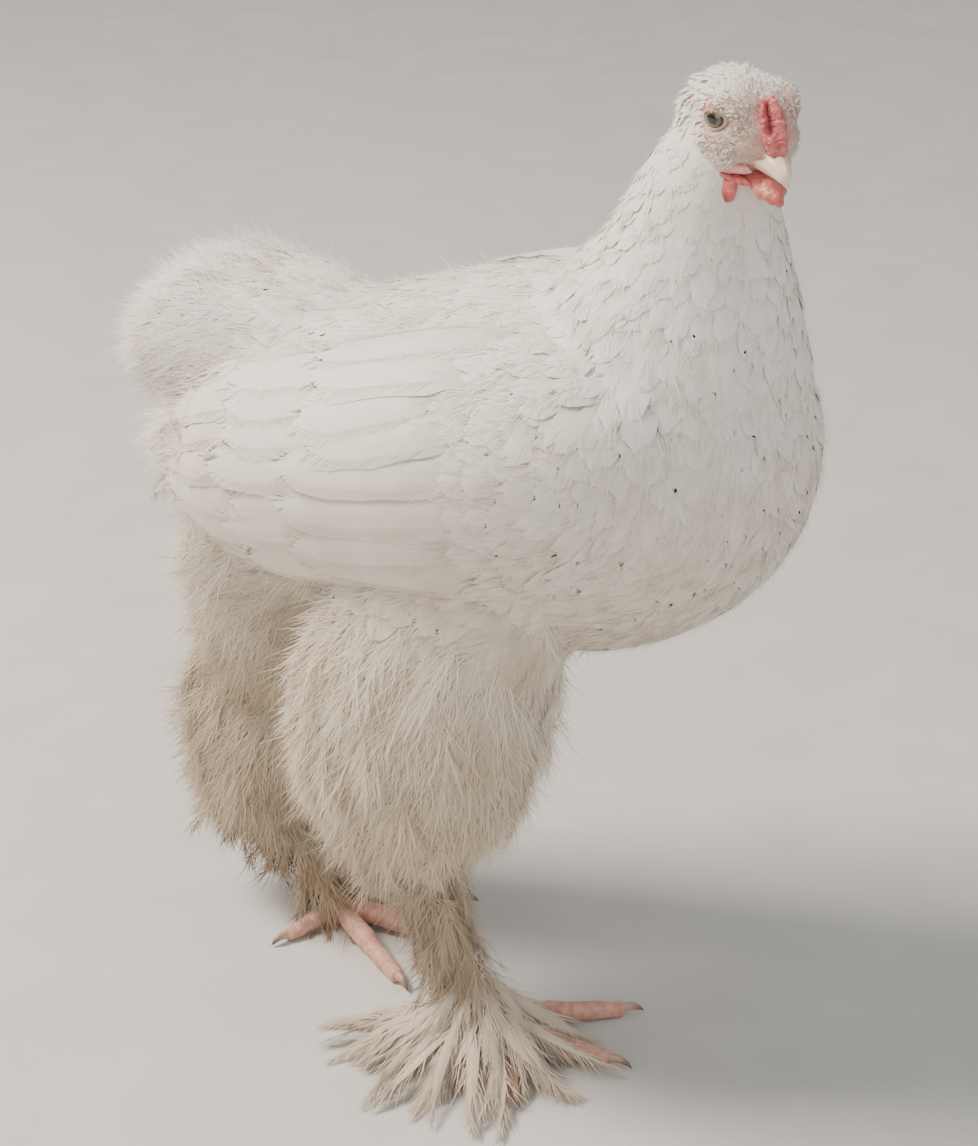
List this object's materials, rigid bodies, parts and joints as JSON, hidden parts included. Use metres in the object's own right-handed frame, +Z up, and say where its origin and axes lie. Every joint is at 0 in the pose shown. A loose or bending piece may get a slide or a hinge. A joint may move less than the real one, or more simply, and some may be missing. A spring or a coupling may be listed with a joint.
{
  "type": "hen",
  "caption": "Young white Brahma hen walking, head turned to its right, with a soft tail cushion, fluffy thighs and feathered feet.",
  "frame": {"origin": "on the floor below the hips, midway across the body", "axes": "-Y is forward along the body, +X is the bird's left, +Z is up"},
  "size_m": [0.2587, 0.4045, 0.5506],
  "materials": {
    "feathers": "soft feathers",
    "fluff": "loose down",
    "comb_skin": "bare red skin",
    "beak_horn": "satin horn",
    "foot_scales": "scaly skin and feathers",
    "eye": "wet",
    "claw_horn": "satin horn"
  },
  "bodies": {
    "root": {"abdomen": "fluff", "beak_lower": "beak_horn", "beak_upper": "beak_horn", "claw_inner_left": "claw_horn", "claw_inner_right": "claw_horn", "claw_middle_left": "claw_horn", "claw_middle_right": "claw_horn", "claw_outer_left": "claw_horn", "claw_outer_right": "claw_horn", "claw_rear_left": "claw_horn", "claw_rear_right": "claw_horn", "comb": "comb_skin", "cushion": "fluff", "earlobe_left": "comb_skin", "earlobe_right": "comb_skin", "eye_left": "eye", "eye_right": "eye", "foot_left": "foot_scales", "foot_right": "foot_scales", "head": "feathers", "neck": "feathers", "shank_left": "fluff", "shank_right": "fluff", "tail": "feathers", "thigh_left": "fluff", "thigh_right": "fluff", "torso": "feathers", "wattle_left": "comb_skin", "wattle_right": "comb_skin", "wing_left": "feathers", "wing_right": "feathers"}
  },
  "joints": []
}
